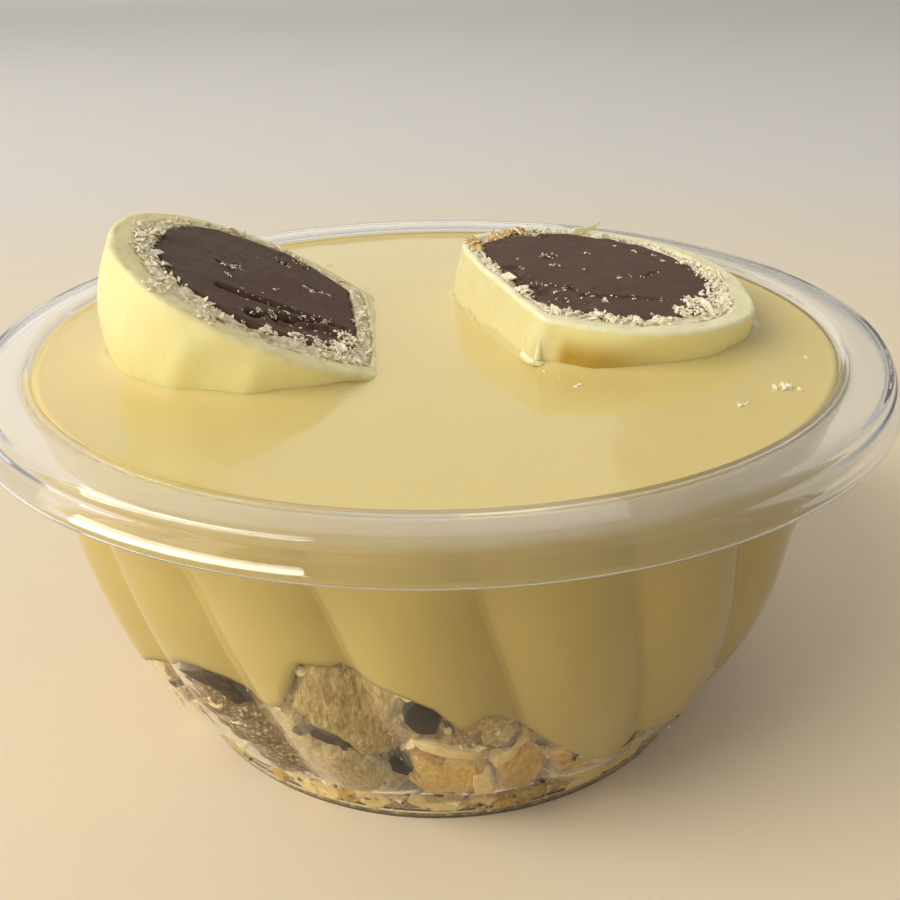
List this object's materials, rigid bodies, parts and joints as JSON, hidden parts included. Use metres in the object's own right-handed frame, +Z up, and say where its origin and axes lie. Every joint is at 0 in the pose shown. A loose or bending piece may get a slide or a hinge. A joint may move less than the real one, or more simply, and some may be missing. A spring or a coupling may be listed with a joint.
{
  "type": "layered dessert cup",
  "caption": "Clear fluted plastic cup of wafer and chocolate pieces under thick pale cream, topped with two halves of a filled bonbon.",
  "frame": {"origin": "middle of the foot's underside, which is the bottom middle of the bounding box", "axes": "+Z up out of the mouth, -Y towards the viewer of the picture, +X to the viewer's right; the dome of the high bonbon half points to -X"},
  "size_m": [0.0932, 0.0932, 0.0528],
  "materials": {
    "clear_plastic": "thin clear glossy sheet",
    "cream": "thick pale yellow cream, soft gloss, slightly translucent",
    "wafer_pieces": "rough broken wafer and chocolate, crumbly",
    "white_coating": "smooth waxy ivory coating, satin",
    "wafer": "porous crumbly cut wafer",
    "chocolate_filling": "dense dark brown cut face, satin"
  },
  "bodies": {
    "root": {"cup": "clear_plastic", "cream": "cream", "wafer_layer": "wafer_pieces", "bonbon_left_coating": "white_coating", "bonbon_left_wafer": "wafer", "bonbon_left_filling": "chocolate_filling", "bonbon_right_coating": "white_coating", "bonbon_right_wafer": "wafer", "bonbon_right_filling": "chocolate_filling"}
  },
  "joints": []
}
